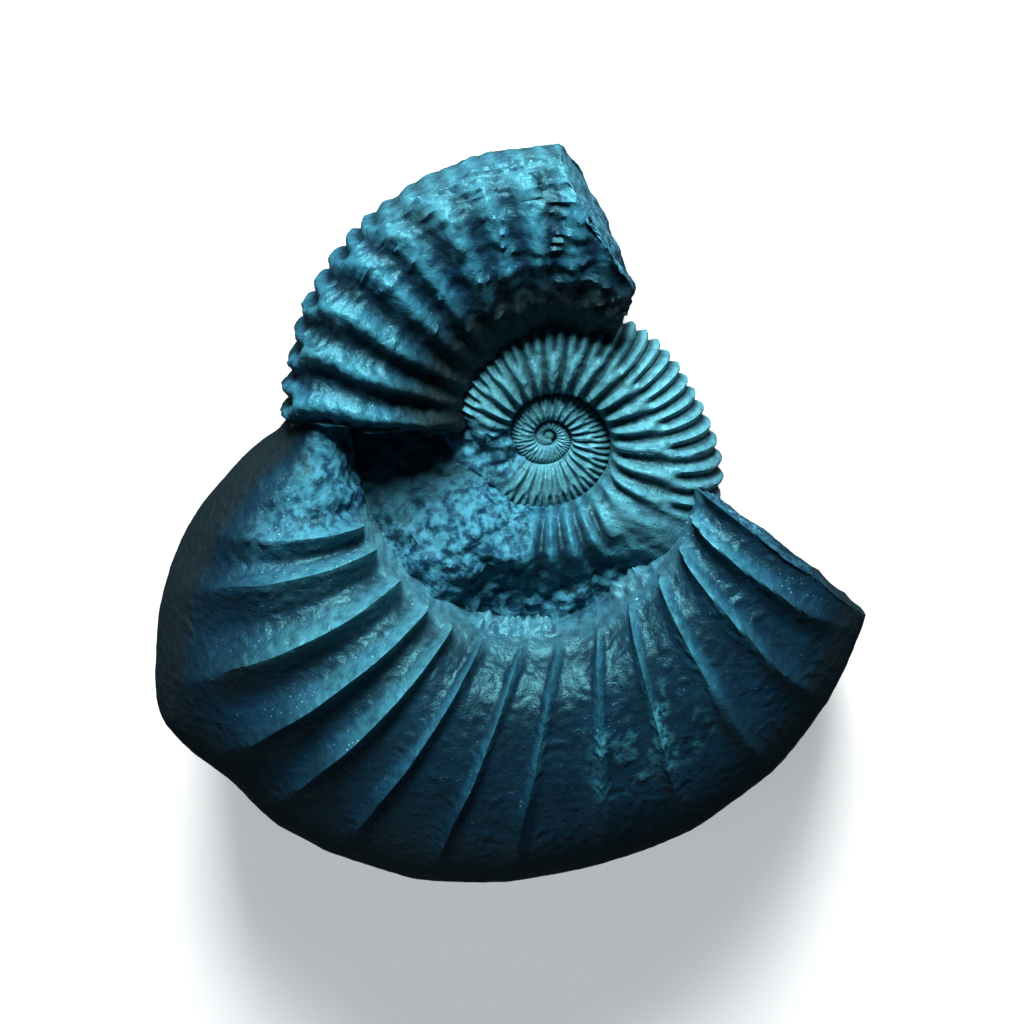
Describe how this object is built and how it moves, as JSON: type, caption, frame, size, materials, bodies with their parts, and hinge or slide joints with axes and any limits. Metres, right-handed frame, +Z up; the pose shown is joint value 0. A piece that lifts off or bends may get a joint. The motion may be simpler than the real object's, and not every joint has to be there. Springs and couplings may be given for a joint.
{
  "type": "shaligram ammonite fossil",
  "caption": "Ribbed spiral ammonite fossil in dark stone, broken at both ends of its outer whorl, lying on its back flank.",
  "frame": {"origin": "middle of the bounding box's footprint, on the surface that the fossil lies on", "axes": "+Z up out of the flank that shows; +Y towards the outer arc of the coil, -Y towards the fan; +X to the right as seen from above"},
  "size_m": [0.0977, 0.1048, 0.0405],
  "materials": {
    "fossil_stone": "dark blue-black limestone with a soft sheen, worn smooth on the fan and granular in the matrix"
  },
  "bodies": {
    "root": {"ammonite_fossil": "fossil_stone"}
  },
  "joints": []
}
